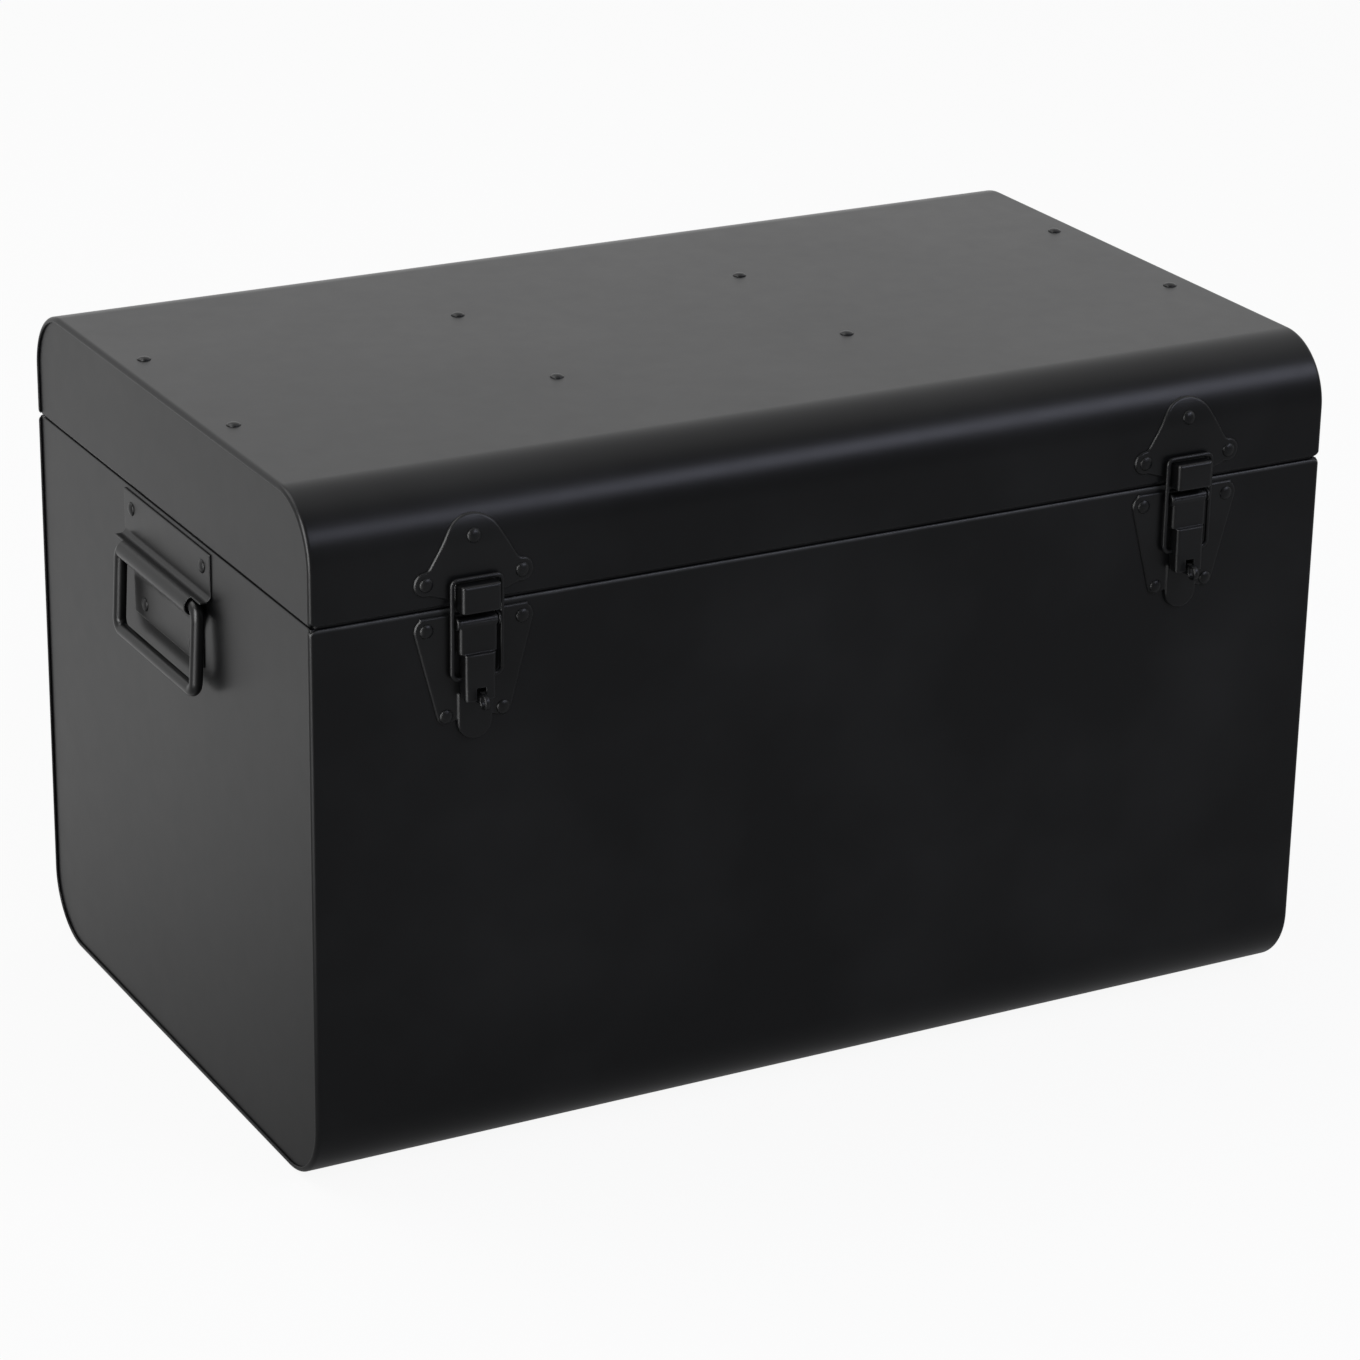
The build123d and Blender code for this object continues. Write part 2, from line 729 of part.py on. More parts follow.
for side, hand in sides:
    behind = back_plane(side * hinge_x, seam_gap / 2)
    profile = hinge_profile_plane(side * hinge_x)

    with BuildPart() as body_leaf:
        with BuildSketch(behind):
            with Locations((0, -body_leaf_drop)):
                Rectangle(
                    hinge_width, body_leaf_drop - leaf_edge, align=(Align.CENTER, Align.MIN)
                )
        extrude(amount=hinge_leaf)
        # Two knuckles, one on each side of the lid leaf's
        knuckle_starts = (-hinge_width / 2, knuckle_length / 2 + knuckle_gap)
        with BuildSketch(*[profile.offset(start) for start in knuckle_starts]):
            with Locations((-hinge_axis_reach, -hinge_pin)):
                Rectangle(hinge_leaf, leaf_edge, align=(Align.MIN, Align.MAX))
            Circle(knuckle_radius)
            Circle(hinge_pin + pin_fit, mode=Mode.SUBTRACT)
        extrude(amount=hinge_width / 2 - knuckle_length / 2 - knuckle_gap)
        with Locations(*[place.offset(hinge_leaf) for place in body_hinge_rivets_at]):
            Hole(rivet_hole, 2 * hinge_leaf)
    write(body_leaf, f"hinge_body_leaf_{hand}")

    with BuildPart() as lid_leaf:
        with BuildSketch(behind):
            with Locations((0, leaf_edge)):
                Rectangle(hinge_width, lid_leaf_rise - leaf_edge, align=(Align.CENTER, Align.MIN))
        extrude(amount=hinge_leaf)
        # One knuckle, with a tail that meets the body leaf when the lid is fully open
        with BuildSketch(profile):
            with Locations((-hinge_axis_reach, hinge_pin)):
                Rectangle(hinge_leaf, leaf_edge, align=(Align.MIN, Align.MIN))
            Circle(knuckle_radius)
            Rectangle(
                stop_reach, stop_sheet, rotation=stop_rest, align=(Align.MIN, Align.CENTER)
            )
            Circle(hinge_pin + turn_fit, mode=Mode.SUBTRACT)
        extrude(amount=knuckle_length / 2, both=True)
        with Locations(*[place.offset(hinge_leaf) for place in lid_hinge_rivets_at]):
            Hole(rivet_hole, 2 * hinge_leaf)
    write(lid_leaf, f"hinge_lid_leaf_{hand}")

    with BuildPart() as hinge_rod:
        with BuildSketch(profile):
            Circle(hinge_pin)
        extrude(amount=hinge_width / 2, both=True)
        with BuildSketch(
            profile.offset(-hinge_width / 2 - hinge_pin_head_rise), profile.offset(hinge_width / 2)
        ):
            Circle(hinge_pin_head)
        extrude(amount=hinge_pin_head_rise)
    write(hinge_rod, f"hinge_pin_{hand}")

write_rivets(body_hinge_rivets_at, hinge_leaf, sheet, "hinge_body_rivets")
write_rivets(lid_hinge_rivets_at, hinge_leaf, sheet, "hinge_lid_rivets")
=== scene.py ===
import json
import math

import bmesh
import bpy
from mathutils import Euler, Matrix, Vector


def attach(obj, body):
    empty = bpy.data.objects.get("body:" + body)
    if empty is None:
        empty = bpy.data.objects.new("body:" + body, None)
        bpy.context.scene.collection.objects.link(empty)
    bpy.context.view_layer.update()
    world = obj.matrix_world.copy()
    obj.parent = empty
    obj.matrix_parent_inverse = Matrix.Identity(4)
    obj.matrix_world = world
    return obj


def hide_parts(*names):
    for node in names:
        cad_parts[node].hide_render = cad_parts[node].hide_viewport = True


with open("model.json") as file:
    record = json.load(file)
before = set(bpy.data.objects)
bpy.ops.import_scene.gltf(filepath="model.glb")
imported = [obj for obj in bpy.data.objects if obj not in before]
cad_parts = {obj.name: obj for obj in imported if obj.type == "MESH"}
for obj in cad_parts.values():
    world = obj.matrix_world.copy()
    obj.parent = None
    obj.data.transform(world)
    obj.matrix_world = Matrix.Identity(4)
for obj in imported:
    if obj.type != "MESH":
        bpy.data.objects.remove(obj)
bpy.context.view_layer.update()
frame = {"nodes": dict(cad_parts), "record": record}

mm = 0.001

# ---- Sockets as values ----


class Wire:
    # One output socket of a node tree. Sums, products and powers of wires add their Math nodes.
    def __init__(self, tree, socket):
        self.tree = tree
        self.socket = socket

    def maths(self, operation, *values):
        return node(self.tree, "ShaderNodeMath", {"operation": operation}, dict(enumerate(values)))

    def __add__(self, other):
        return self.maths("ADD", self, other)

    def __radd__(self, other):
        return self.maths("ADD", other, self)

    def __sub__(self, other):
        return self.maths("SUBTRACT", self, other)

    def __rsub__(self, other):
        return self.maths("SUBTRACT", other, self)

    def __mul__(self, other):
        return self.maths("MULTIPLY", self, other)

    def __rmul__(self, other):
        return self.maths("MULTIPLY", other, self)

    def __truediv__(self, other):
        return self.maths("DIVIDE", self, other)

    def __neg__(self):
        return self.maths("MULTIPLY", self, -1)

    def __pow__(self, other):
        return self.maths("POWER", self, other)

    def most(self, other):
        return self.maths("MAXIMUM", self, other)

    def least(self, other):
        return self.maths("MINIMUM", self, other)

    def size(self):
        return self.maths("ABSOLUTE", self)


def node(tree, kind, settings=None, values=None, output=0):
    # Adds one node: its settings first, then its sockets, each a number, a colour or a wire.
    made = tree.nodes.new(kind)
    for name, value in (settings or {}).items():
        if name == "stops":
            ramp = made.color_ramp.elements
            while len(ramp) < len(value):
                ramp.new(1)
            for stop, (place, shade) in zip(ramp, value):
                stop.position = place
                stop.color = (shade, shade, shade, 1)
        elif name == "choices":
            while len(made.index_switch_items) < value:
                made.index_switch_items.new()
        else:
            setattr(made, name, value)
    for name, value in (values or {}).items():
        socket = made.inputs[name]
        if isinstance(value, Wire):
            tree.links.new(value.socket, socket)
        else:
            socket.default_value = value
    return Wire(tree, made.outputs[output]) if made.outputs else None


# ---- Shapes grown by Geometry Nodes ----


def shapeTree(name, sizes):
    # A tree with one named input for each size. Returns it with its wires.
    tree = bpy.data.node_groups.new(name, "GeometryNodeTree")
    tree.interface.new_socket("Geometry", in_out="OUTPUT", socket_type="NodeSocketGeometry")
    tree.interface.new_socket("Geometry", in_out="INPUT", socket_type="NodeSocketGeometry")
    for label in sizes:
        tree.interface.new_socket(label, in_out="INPUT", socket_type="NodeSocketFloat")
    entry = tree.nodes.new("NodeGroupInput")
    return tree, {socket.name: Wire(tree, socket) for socket in entry.outputs if socket.name}


def closeTree(tree, shape, paint):
    solid = node(tree, "GeometryNodeRealizeInstances", {}, {"Geometry": shape})
    painted = node(tree, "GeometryNodeSetMaterial", {}, {"Geometry": solid, "Material": materials[paint]})
    node(tree, "NodeGroupOutput", {}, {"Geometry": painted})


def spot(tree, x, y, z):
    return node(tree, "ShaderNodeCombineXYZ", {}, {0: x, 1: y, 2: z})


def pick(tree, kind, choices):
    # The choice whose number is the point's index
    index = node(tree, "GeometryNodeInputIndex")
    values = {0: index, **{place + 1: choice for place, choice in enumerate(choices)}}
    return node(tree, "GeometryNodeIndexSwitch", {"data_type": kind, "choices": len(choices)}, values)


def keepValue(tree, shape, label, choices):
    value = pick(tree, "FLOAT", choices)
    return node(tree, "GeometryNodeStoreNamedAttribute", {}, {"Geometry": shape, "Name": label, "Value": value})


def readValue(tree, label, kind="FLOAT"):
    return node(tree, "GeometryNodeInputNamedAttribute", {"data_type": kind}, {"Name": label})


def polyline(tree, corners, radii, closed=False, steps=8):
    # A curve of straight runs through the corners, each rounded to its radius
    row = node(tree, "GeometryNodeMeshLine", {}, {"Count": len(corners)})
    place = pick(tree, "VECTOR", [spot(tree, *corner) for corner in corners])
    laid = node(tree, "GeometryNodeSetPosition", {}, {"Geometry": row, "Position": place})
    laid = keepValue(tree, laid, "bend", radii)
    curve = node(tree, "GeometryNodeMeshToCurve", {}, {"Mesh": laid})
    if closed:
        curve = node(tree, "GeometryNodeSetSplineCyclic", {}, {"Geometry": curve, "Cyclic": True})
    return node(
        tree,
        "GeometryNodeFilletCurve",
        {"mode": "POLY"},
        {"Curve": curve, "Count": steps, "Radius": readValue(tree, "bend"), "Limit Radius": True},
    )


def smooth(mesh, angle):
    # Even shading: large flats stay flat, bends run smoothly, cut edges stay sharp.
    mesh.shade_smooth()
    mesh.set_sharp_from_angle(angle=math.radians(angle))


def finished(holder, name):
    # The evaluated shape as a plain mesh on a new object at the origin
    graph = bpy.context.evaluated_depsgraph_get()
    mesh = bpy.data.meshes.new_from_object(holder.evaluated_get(graph))
    mesh.name = name
    bpy.data.objects.remove(holder)
    piece = bpy.data.objects.new(name, mesh)
    bpy.context.scene.collection.objects.link(piece)
    return piece


def evened(piece, angle=38, outward=True):
    name = piece.name
    shell = bmesh.new()
    shell.from_mesh(piece.data)
    bmesh.ops.remove_doubles(shell, verts=shell.verts, dist=1e-6)
    if outward:
        bmesh.ops.recalc_face_normals(shell, faces=shell.faces)
    shell.to_mesh(piece.data)
    shell.free()
    smooth(piece.data, angle)
    even = piece.modifiers.new("evenShade", "WEIGHTED_NORMAL")
    even.keep_sharp = True
    piece.name = name + "Draft"
    return finished(piece, name)


def grow(name, tree, sizes, starts=((0, 0, 0),), ways=None):
    # Runs a tree on its starting points and keeps the result as a plain mesh.
    seed = bpy.data.meshes.new(name + "Seed")
    seed.from_pydata(list(starts), [], [])
    if ways:
        attribute = seed.attributes.new("outward", "FLOAT_VECTOR", "POINT")
        for entry, way in zip(attribute.data, ways):
            entry.vector = way
    holder = bpy.data.objects.new(name + "Seed", seed)
    bpy.context.scene.collection.objects.link(holder)
    modifier = holder.modifiers.new("shape", "NODES")
    modifier.node_group = tree
    for item in tree.interface.items_tree:
        if item.in_out == "INPUT" and item.name in sizes:
            modifier[item.identifier] = sizes[item.name] * mm
    return evened(finished(holder, name))


def settle(piece, body, slot, *nodes):
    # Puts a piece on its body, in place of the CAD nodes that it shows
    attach(piece, body)
    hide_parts(*nodes)
    print("piece:", piece.name, len(piece.data.polygons), "faces on", body)


# ---- Materials ----


paints = {
    "sheetPaint": {
        "colour": (0.0055, 0.0057, 0.0062),
        "roughness": 0.31,
        "peel": 0.10,
        "wave": 0.15,
        "ior": 1.30,
        "edgeHighlight": 0.35,
    },
    "fittingPaint": {
        "colour": (0.0036, 0.0038, 0.0041),
        "roughness": 0.33,
        "peel": 0.14,
        "wave": 0.0,
        "ior": 1.36,
        "edgeHighlight": 0.6,
    },
    "wirePaint": {
        "colour": (0.0036, 0.0038, 0.0041),
        "roughness": 0.31,
        "peel": 0.12,
        "wave": 0.0,
        "ior": 1.36,
        "edgeHighlight": 0.6,
    },
    "rivetPaint": {
        "colour": (0.0036, 0.0038, 0.0041),
        "roughness": 0.33,
        "peel": 0.12,
        "wave": 0.0,
        "ior": 1.36,
        "edgeHighlight": 0.5,
    },
}

# Grain of the paint, in cells to the metre
peelScale = 520.0      # orange peel
cloudScale = 9.0       # broad change of gloss, and dust
speckScale = 95.0
waveScale = 5.5        # slow wave of the thin sheet
# Heights of the grain, in metres
peelHeight = 0.00006
waveHeight = 0.003
# Painted highlight on the rounded edges (a lighter colour there), and a film of dust
edgeRoundRadius = 0.0009
edgeHighlightGain = 12          # how soon an edge gets the painted highlight
edgeHighlightShare = 0.45
dustShare = 0.10
dustAndHighlightColour = (0.062, 0.064, 0.066, 1)


def makePaint(name, look):
    material = bpy.data.materials.new(name)
    material.use_nodes = True
    tree = material.node_tree
    tree.nodes.clear()
    place = node(tree, "ShaderNodeTexCoord", output=3)
    grain = {"Vector": place, "Detail": 3.0, "Roughness": 0.55}
    cloud = node(tree, "ShaderNodeTexNoise", {}, {**grain, "Scale": cloudScale})
    speck = node(tree, "ShaderNodeTexNoise", {}, {**grain, "Scale": speckScale})
    peel = node(tree, "ShaderNodeTexNoise", {}, {**grain, "Scale": peelScale, "Detail": 1.0})
    # Painted edge highlight: a lighter colour where a rounded normal leaves the flat one
    soft = node(tree, "ShaderNodeBevel", {"samples": 6}, {"Radius": edgeRoundRadius})
    flat = node(tree, "ShaderNodeNewGeometry", output=1)
    agree = node(tree, "ShaderNodeVectorMath", {"operation": "DOT_PRODUCT"}, {0: soft, 1: flat}, 1)
    edge = ((1 - agree) * edgeHighlightGain).least(1) * (0.4 + speck)
    dust = node(tree, "ShaderNodeValToRGB", {"stops": ((0.45, 0), (0.75, 1))}, {"Fac": cloud})
    # Share of the lighter colour: the dust film, plus the painted highlight on the edges and the rim
    dustAndHighlight = dust * dustShare + edge * look["edgeHighlight"] * edgeHighlightShare
    if look["wave"]:                 # only the sheets have the painted highlight along the rim
        rub = node(tree, "ShaderNodeAttribute", {"attribute_name": "rub"}, {}, 2)
        dustAndHighlight = dustAndHighlight + rub * (0.3 + speck * 0.8)
    colour = node(
        tree,
        "ShaderNodeMix",
        {"data_type": "RGBA"},
        {0: dustAndHighlight, 6: (*look["colour"], 1), 7: dustAndHighlightColour},
        2,
    )
    rough = look["roughness"] + (cloud - 0.5) * 0.10 + (speck - 0.5) * 0.06 - edge * 0.05
    height = peel * look["peel"] * peelHeight
    if look["wave"]:
        wave = node(tree, "ShaderNodeTexNoise", {}, {"Vector": place, "Scale": waveScale, "Detail": 0.0})
        height = height + wave * look["wave"] * waveHeight
    bump = node(tree, "ShaderNodeBump", {}, {"Strength": 1.0, "Distance": 1.0, "Height": height, "Normal": soft})
    skin = node(
        tree,
        "ShaderNodeBsdfPrincipled",
        {},
        {"Base Color": colour, "Roughness": rough, "IOR": look["ior"], "Normal": bump},
    )
    node(tree, "ShaderNodeOutputMaterial", {}, {"Surface": skin})
    return material


materials = {name: makePaint(name, look) for name, look in paints.items()}
paintOfSlot = {
    "shell": "sheetPaint",
    "fittings": "fittingPaint",
    "wire": "wirePaint",
    "rivets": "rivetPaint",
}
slotOfNode = {part["node"]: part["material_slot"] for part in frame["record"]["subparts"]}
for nodeName, cadObject in frame["nodes"].items():
    paint = materials[paintOfSlot[slotOfNode[nodeName]]]
    cadObject.data.materials.clear()
    cadObject.data.materials.append(paint)
print("materials:", ", ".join(materials))

# ---- Bent sheets of body and lid ----

sheets = {
    "trunkSheet": {"Rim": 258.0, "Far": 0.0, "Corner": 31.0, "RimEdge": 1.6, "Rub": 1000.0},
    "lidSheet": {"Rim": 259.2, "Far": 312.0, "Corner": 30.0, "RimEdge": 0.9, "Rub": 0.0},
}
# Rim, Far: heights of the open edge and of the closed side. RimEdge: rounding of the rim.
# Rub: whether the rim gets a painted highlight line just below the seam (the highlight is 1 over a millimetre).
sheetSizes = {
    "Length": 500.0,
    "Depth": 308.0,
    "Sheet": 1.0,
    "Hem": 2.5,
    "Fold": 1.9,           # outer radius of the bend round each end panel
    "RimCorner": 4.0,      # rounding of the rim's corners, as seen from the front
    "RimBlend": 14.0,      # how far from the rim that rounding reaches
}


def bentSheetTree():
    tree, size = shapeTree("bentSheet", [*sheetSizes, "Rim", "Far", "Corner", "RimEdge", "Rub"])
    half, deep, wall = size["Length"] / 2, size["Depth"] / 2, size["Sheet"]
    rim, far, fold, hem, edge = size["Rim"], size["Far"], size["Fold"], size["Hem"], size["RimEdge"]
    way = (far - rim).maths("SIGN", far - rim)
    # Path of the outer skin, from the front rim round to the back one, with close rows at the rims
    drops = [edge * share for share in (0, 0.076, 0.293, 0.617, 1)]          # a quarter circle's rows
    drops += [size["RimCorner"] * share for share in (0.5, 1)] + [size["RimBlend"]]
    front = [(0, -deep, rim + way * drop) for drop in drops] + [(0, -deep, far)]
    back = [(0, deep, z) for x, y, z in reversed(front)]
    bends = [0] * len(drops) + [size["Corner"]] * 2 + [0] * len(drops)
    path = polyline(tree, front + back, bends, steps=26)
    path = node(tree, "GeometryNodeSetCurveNormal", {"mode": "FREE"}, {"Curve": path, "Normal": (1, 0, 0)})
    # Section through the sheet: across, and its hems turned in over the end panels
    tip = wall * 0.3
    columns = [half - size["RimCorner"] * share for share in (0.62, 0.8, 1)]
    outer = [(-half, 0, 0)] + [(-x, 0, 0) for x in columns] + [(x, 0, 0) for x in reversed(columns)]
    inside, turned = wall * way, hem * way
    outer += [(half, 0, 0), (half, turned, 0), (half - wall, turned, 0), (half - wall, inside, 0)]
    outer += [(wall - half, inside, 0), (wall - half, turned, 0), (-half, turned, 0)]
    turns = [fold] + [0] * 6 + [fold, tip, tip, fold - wall, fold - wall, tip, tip]
    section = polyline(tree, outer, turns, closed=True, steps=6)
    shell = node(
        tree, "GeometryNodeCurveToMesh", {}, {"Curve": path, "Profile Curve": section, "Fill Caps": True}
    )
    # Rims: the outer edge rounded over, and the corners eased
    place = node(tree, "GeometryNodeInputPosition")
    x, y, z = [node(tree, "ShaderNodeSeparateXYZ", {}, {0: place}, part) for part in range(3)]
    depth = (z - rim).size()
    coreX = x.most(fold - half).least(half - fold)
    coreY = y.most(fold - deep).least(deep - fold)
    reach = ((x - coreX) ** 2 + (y - coreY) ** 2) ** 0.5
    skin = reach.maths("GREATER_THAN", reach, fold - wall * 0.5)
    fromCorner = (half - x.size()) + (deep - y.size())
    near = (edge - depth).most(0)
    away = (fromCorner / (size["RimCorner"] * 2)).least(1)
    inset = (edge - (edge ** 2 - near ** 2).most(0) ** 0.5) * skin * (0.45 + 0.55 * away)
    keep = 1 - inset / reach.most(1e-6)
    lost = (size["RimCorner"] - fromCorner).most(0)
    drop = size["RimCorner"] - (size["RimCorner"] ** 2 - lost ** 2).most(0) ** 0.5
    blend = (1 - depth / size["RimBlend"]).most(0)
    moved = spot(tree, coreX + (x - coreX) * keep, coreY + (y - coreY) * keep, z + way * drop * blend)
    shell = node(tree, "GeometryNodeSetPosition", {}, {"Geometry": shell, "Position": moved})
    # Painted highlight along the rounded rim, just below the seam
    rub = (1 - ((depth - edge * 0.42).size() / (edge * 0.65))).most(0) * skin * size["Rub"]
    shell = node(tree, "GeometryNodeStoreNamedAttribute", {}, {"Geometry": shell, "Name": "rub", "Value": rub})
    closeTree(tree, shell, "sheetPaint")
    return tree


sheetTree = bentSheetTree()
for name, body, replaced in (("trunkSheet", "trunk", "body_wrap"), ("lidSheet", "lid", "lid_wrap")):
    sheet = grow(name, sheetTree, {**sheetSizes, **sheets[name]})
    settle(sheet, body, "shell", replaced)

# ---- Rivets ----

rivet = {"Head": 3.2, "Rise": 1.3, "Shank": 1.5, "Tail": 2.3, "TailRise": 1.0}
rivetTilt = 0.02           # most lean of a head, in radians
domeShape = ((0.0, 1.0), (0.30, 0.94), (0.55, 0.79), (0.76, 0.54), (0.90, 0.29), (0.97, 0.12), (1.0, 0.0))


def rivetTree():
    tree, size = shapeTree("rivetRow", [*rivet, "Grip"])
    section = [(size["Rise"] * high, size["Head"] * wide + 0.00004) for wide, high in domeShape]
    section += [(-0.00002, size["Shank"]), (0.00002 - size["Grip"], size["Shank"])]
    tail = [(0, 1.0), (0.45, 1.0), (0.8, 0.86), (1.0, 0.5), (1.02, 0.02)]
    section += [(-size["Grip"] - size["TailRise"] * deep, size["Tail"] * wide) for deep, wide in tail]
    row = node(tree, "GeometryNodeMeshLine", {}, {"Count": len(section)})
    place = pick(tree, "VECTOR", [spot(tree, 0, 0, high) for high, wide in section])
    row = node(tree, "GeometryNodeSetPosition", {}, {"Geometry": row, "Position": place})
    row = keepValue(tree, row, "girth", [wide for high, wide in section])
    core = node(tree, "GeometryNodeMeshToCurve", {}, {"Mesh": row})
    ring = node(tree, "GeometryNodeCurvePrimitiveCircle", {}, {"Resolution": 28, "Radius": 1.0})
    one = node(
        tree,
        "GeometryNodeCurveToMesh",
        {},
        {"Curve": core, "Profile Curve": ring, "Scale": readValue(tree, "girth"), "Fill Caps": True},
    )
    lean = node(
        tree,
        "FunctionNodeRandomValue",
        {"data_type": "FLOAT_VECTOR"},
        {0: (-rivetTilt, -rivetTilt, 0), 1: (rivetTilt, rivetTilt, 3), "Seed": 7},
    )
    stand = node(tree, "FunctionNodeAlignRotationToVector", {}, {"Vector": readValue(tree, "outward", "FLOAT_VECTOR")})
    turned = node(
        tree, "FunctionNodeRotateRotation", {"rotation_space": "LOCAL"}, {"Rotation": stand, "Rotate By": lean}
    )
    origins = node(tree, "GeometryNodeMeshToPoints", {}, {"Mesh": size["Geometry"]})
    heads = node(
        tree, "GeometryNodeInstanceOnPoints", {}, {"Points": origins, "Instance": one, "Rotation": turned}
    )
    closeTree(tree, heads, "rivetPaint")
    return tree


trunkBox = {"deep": 154.0, "rim": 258.0, "top": 312.0, "roll": 30.0, "panel": 249.0}
latch = {"x": 176.2, "plate": 1.2}   # a latch's middle, and its plates' thickness
sidesOf = ((-1, "left"), (1, "right"))


def onFront(x, rise, stand=0.0):
    # A point so far above the body's rim on the front, and the way out of it there
    lean = math.asin(max(0, rise + trunkBox["rim"] + trunkBox["roll"] - trunkBox["top"]) / trunkBox["roll"])
    setBack = trunkBox["roll"] * (1 - math.cos(lean))
    way = Vector((0, -math.cos(lean), math.sin(lean)))
    return Vector((x, setBack - trunkBox["deep"], trunkBox["rim"] + rise)) + way * stand, way


def onEnd(side, across, rise, stand=0.0):
    place = Vector((side * (trunkBox["panel"] + stand), side * across, trunkBox["rim"] + rise))
    return place, Vector((side, 0, 0))


def onBack(x, rise, stand=0.0):
    return Vector((x, trunkBox["deep"] + stand, trunkBox["rim"] + rise)), Vector((0, 1, 0))


def onTop(x, y):
    return Vector((x, y, trunkBox["top"])), Vector((0, 0, 1))


plate = latch["plate"]
strapSheet = 0.8
hinge = {"x": 150, "rivetX": 12, "bodyZ": -18, "lidZ": 14}
# body, grip, seats of the heads, and the CAD nodes that each row stands for
rivetRows = {
    "lidTopRivets": ("lid", 2.0, [onTop(x, y) for x in (-236.6, -84, 62, 236.6) for y in (-47, 53)],
                     ("lid_end_rivets", "lid_rib_rivets")),
    "keeperRivets": ("lid", 2.2, [onFront(side * latch["x"] + x, z, plate) for side, hand in sidesOf
                                  for x, z in ((-22, 12), (22, 12), (0, 30))],
                     ("latch_keeper_rivets",)),
    "baseRivets": ("trunk", 2.2, [onFront(side * latch["x"] + x, z, plate) for side, hand in sidesOf
                                  for x, z in ((-22, -8.3), (22, -8.3), (-13.2, -47.6), (13.2, -47.6))],
                   ("latch_base_rivets",)),
    "handleRivets": ("trunk", 1.8, [onEnd(side, x, z, strapSheet) for side, hand in sidesOf
                                    for x, z in ((-40, -9.6), (40, -9.6), (-26.5, -50), (26.5, -50))],
                     ("handle_rivets",)),
    "hingeRivets": ("trunk", 2.2, [onBack(side * hinge["x"] + x, hinge["bodyZ"], plate) for side, hand in sidesOf
                                   for x in (-hinge["rivetX"], hinge["rivetX"])],
                    ("hinge_body_rivets",)),
    "lidHingeRivets": ("lid", 2.2, [onBack(side * hinge["x"] + x, hinge["lidZ"], plate) for side, hand in sidesOf
                                    for x in (-hinge["rivetX"], hinge["rivetX"])],
                       ("hinge_lid_rivets",)),
}
rowTree = rivetTree()
for name, (body, grip, seats, replaced) in rivetRows.items():
    places = [place * mm for place, way in seats]
    row = grow(name, rowTree, {**rivet, "Grip": grip}, places, [way for place, way in seats])
    settle(row, body, "rivets", *replaced)

# ---- Wires: the bails and the latches' loops ----

bail = {"Width": 88.0, "Drop": 38.0, "Bend": 5.0, "Wire": 3.0}
bailPlace = {"reach": 253.6, "z": 230.5, "lean": 3.0}
loop = {"HalfWidth": 11.4, "Foot": 4.6, "Pivot": 227.0, "Bar": 270.6, "FootBend": 3.0, "Bend": 2.5, "Wire": 1.0}
loopReach = 3.3


def wireTree(name, sizes, corners, radii, closed, paint="wirePaint"):
    tree, size = shapeTree(name, sizes)
    path = polyline(tree, corners(size), radii(size), closed, steps=10)
    ring = node(tree, "GeometryNodeCurvePrimitiveCircle", {}, {"Resolution": 20, "Radius": size["Wire"]})
    rod = node(tree, "GeometryNodeCurveToMesh", {}, {"Curve": path, "Profile Curve": ring, "Fill Caps": True})
    closeTree(tree, rod, paint)
    return tree


bailTree = wireTree(
    "bailWire",
    bail,
    lambda size: [(size["Width"] * x, 0, size["Drop"] * z) for x, z in ((-0.5, 0), (-0.5, -1), (0.5, -1), (0.5, 0))],
    lambda size: [size["Bend"]] * 4,
    True,
)
loopTree = wireTree(
    "loopWire",
    loop,
    lambda size: [
        (-size["Foot"], 0, size["Pivot"]),
        (-size["HalfWidth"], 0, size["Pivot"]),
        (-size["HalfWidth"], 0, size["Bar"]),
        (size["HalfWidth"], 0, size["Bar"]),
        (size["HalfWidth"], 0, size["Pivot"]),
        (size["Foot"], 0, size["Pivot"]),
    ],
    lambda size: [0, size["FootBend"], size["Bend"], size["Bend"], size["FootBend"], 0],
    False,
)
for side, hand in sidesOf:
    ring = grow(f"bail_{hand}", bailTree, bail)
    hung = Matrix.Translation(Vector((side * bailPlace["reach"], 0, bailPlace["z"])) * mm)
    leaning = Matrix.Rotation(-side * math.radians(bailPlace["lean"]), 4, "Y")
    ring.data.transform(hung @ leaning @ Matrix.Rotation(math.radians(90 * side), 4, "Z"))
    settle(ring, f"bail_{hand}", "wire", f"handle_bail_{hand}")
    hook = grow(f"loop_{hand}", loopTree, loop)
    hook.data.transform(Matrix.Translation(Vector((side * latch["x"], -trunkBox["deep"] - loopReach, 0)) * mm))
    settle(hook, f"loop_{hand}", "wire", f"latch_loop_{hand}")

# ---- Shapes made by hand: bent sheets and pressed plates ----


def rounded(corners, closed=True, step=15):
    # Points along straight runs through (x, z, radius) corners, with an arc at each
    points = []
    for place, (x, z, radius) in enumerate(corners):
        here = Vector((x, z))
        if not radius or (not closed and place in (0, len(corners) - 1)):
            points.append(here)
            continue
        before = (Vector(corners[place - 1][:2]) - here).normalized()
        after = (Vector(corners[(place + 1) % len(corners)][:2]) - here).normalized()
        half = before.angle(after) / 2
        middle = here + (before + after).normalized() * radius / math.sin(half)
        first = here + before * radius / math.tan(half) - middle
        sweep = first.angle_signed(here + after * radius / math.tan(half) - middle)
        count = max(2, round(abs(math.degrees(sweep)) / step))
        for part in range(count + 1):
            turn = -sweep * part / count
            points.append(middle + Matrix.Rotation(turn, 2) @ first)
    return points


